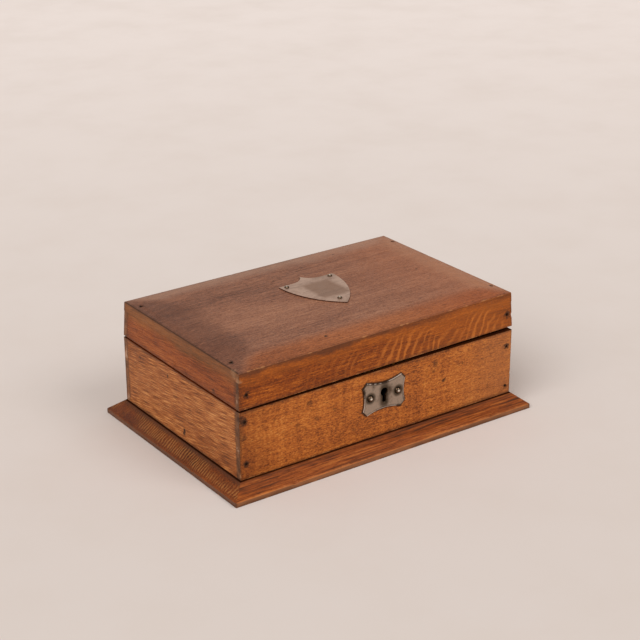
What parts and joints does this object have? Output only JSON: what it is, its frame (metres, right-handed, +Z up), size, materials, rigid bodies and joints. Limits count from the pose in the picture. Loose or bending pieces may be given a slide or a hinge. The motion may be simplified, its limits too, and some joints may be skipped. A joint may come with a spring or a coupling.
{
  "type": "desk letter box",
  "caption": "Low wooden desk box for letters and keepsakes, with a hinged pillow-topped lid, box lock, keyhole plate, bare shield plate and bevelled base board.",
  "frame": {"origin": "on the ground under the middle of the box", "axes": "+X along the length to the right as seen from the keyhole side, +Y from the keyhole front to the hinged back, +Z up"},
  "size_m": [0.3062, 0.2088, 0.1128],
  "materials": {
    "oak": "old orange-brown stain and wax, worn at the arrises, satin",
    "lid_top_oak": "faded reddish brown, waxed, satin, with dents",
    "base_oak": "old brown stain and wax, darker end grain",
    "iron": "dark oxidised iron",
    "nickel_plate": "dulled nickel plate with tarnished edges",
    "brass": "aged lock and hinge brass"
  },
  "bodies": {
    "box": {"base_board": "base_oak", "front_board": "oak", "back_board": "oak", "left_side_board": "oak", "right_side_board": "oak", "body_corner_nails": "iron", "base_screws": "iron", "keyhole_plate": "nickel_plate", "keyhole_plate_pins": "nickel_plate", "lock_case": "brass", "lock_cap": "brass", "lock_pegs": "iron", "lock_screws": "brass", "left_hinge_body_leaf": "brass", "left_hinge_pin": "brass", "right_hinge_body_leaf": "brass", "right_hinge_pin": "brass", "hinge_body_screws": "brass"},
    "lid": {"lid_top_board": "lid_top_oak", "lid_front_rail": "oak", "lid_back_rail": "oak", "lid_left_rail": "oak", "lid_right_rail": "oak", "lid_corner_nails": "iron", "lid_top_nails": "iron", "shield_plate": "nickel_plate", "shield_pins": "nickel_plate", "link_plate": "brass", "link_staples": "brass", "link_screws": "brass", "left_hinge_lid_leaf": "brass", "right_hinge_lid_leaf": "brass", "hinge_lid_screws": "brass"},
    "bolt": {"lock_bolt": "brass", "bolt_spring": "brass"}
  },
  "joints": [
    {"name": "lid_hinge", "type": "hinge", "parent": "box", "child": "lid", "pos_m": [0, 0.0907, 0.07465], "axis": [-1, 0, 0], "range_deg": [0, 95]},
    {"name": "bolt_slide", "type": "slide", "parent": "box", "child": "bolt", "axis": [1, 0, 0], "range_m": [0, 0.004]}
  ]
}
